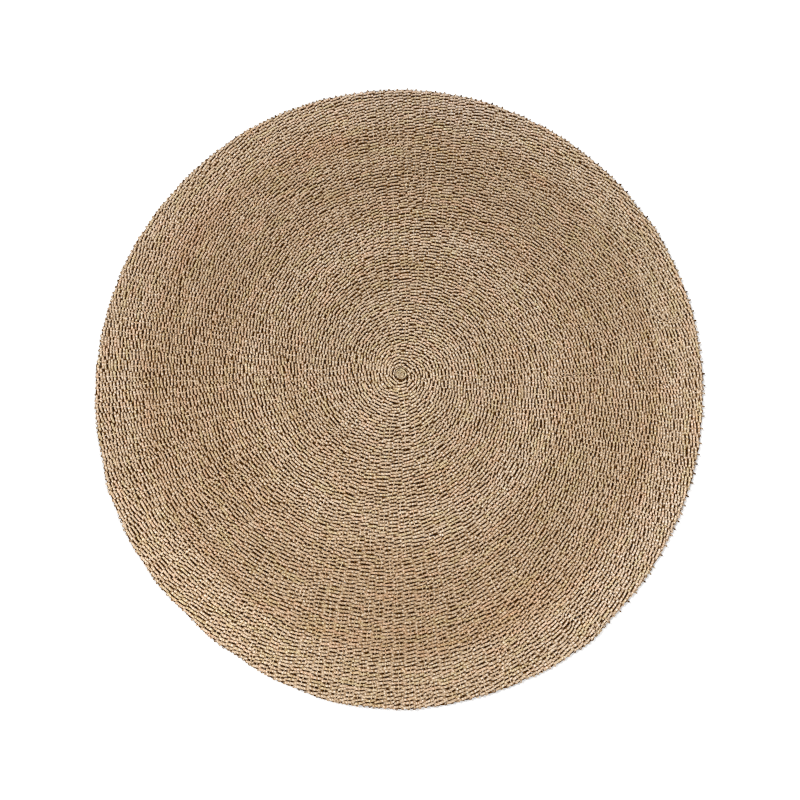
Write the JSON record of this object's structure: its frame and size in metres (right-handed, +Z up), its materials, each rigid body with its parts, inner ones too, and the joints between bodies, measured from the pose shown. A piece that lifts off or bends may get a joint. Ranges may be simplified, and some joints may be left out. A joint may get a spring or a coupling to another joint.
{
  "type": "round twined sisal rug",
  "caption": "Round flat floor rug of natural fibre cord, twined in one spiral row from an off-centre knot to an uneven rim.",
  "frame": {"origin": "middle of the rug's bounding box, on the flat underside", "axes": "+Z up out of the upper face, +Y towards the top of the picture, +X towards its right"},
  "size_m": [1.5032, 1.5512, 0.01],
  "materials": {
    "fibre": "dry twisted plant fibre, matte with a faint straw sheen, mixed cream, tan, reddish and greenish strands"
  },
  "bodies": {
    "root": {"rug": "fibre"}
  },
  "joints": []
}
